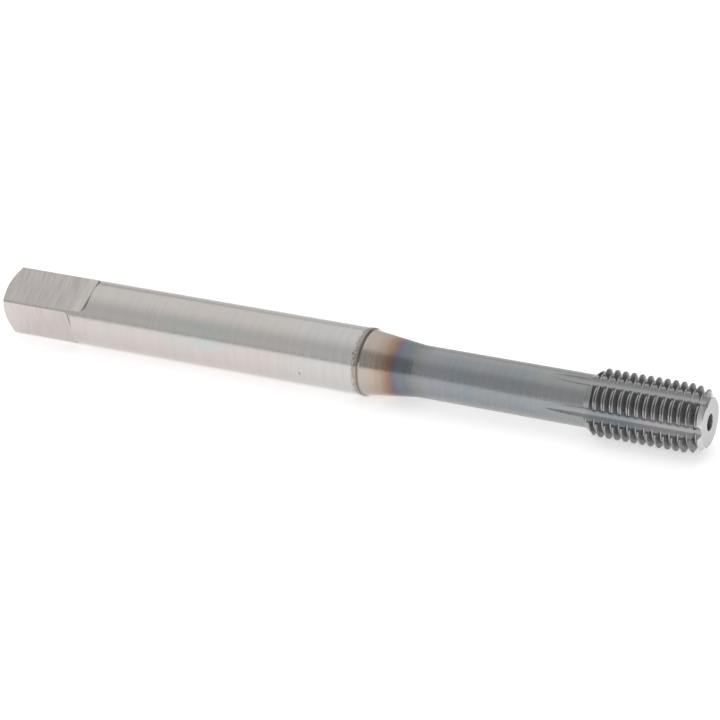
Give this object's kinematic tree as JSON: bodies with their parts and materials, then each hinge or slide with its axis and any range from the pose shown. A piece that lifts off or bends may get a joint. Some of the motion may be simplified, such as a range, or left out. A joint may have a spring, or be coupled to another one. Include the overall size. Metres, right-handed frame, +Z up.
{
  "type": "thread tap",
  "caption": "Thread forming tap in one piece: square-ended cylindrical shank, tapered neck and a short lobed fine thread with straight oil grooves.",
  "frame": {"origin": "centre of the end face of the driving square", "axes": "+X along the tap's axis towards the threaded end, +Z up as it lies"},
  "size_m": [0.09, 0.008, 0.0081],
  "materials": {
    "ground_steel": "ground hardened steel, heat tinted at the neck"
  },
  "bodies": {
    "root": {"thread_tap": "ground_steel"}
  },
  "joints": []
}
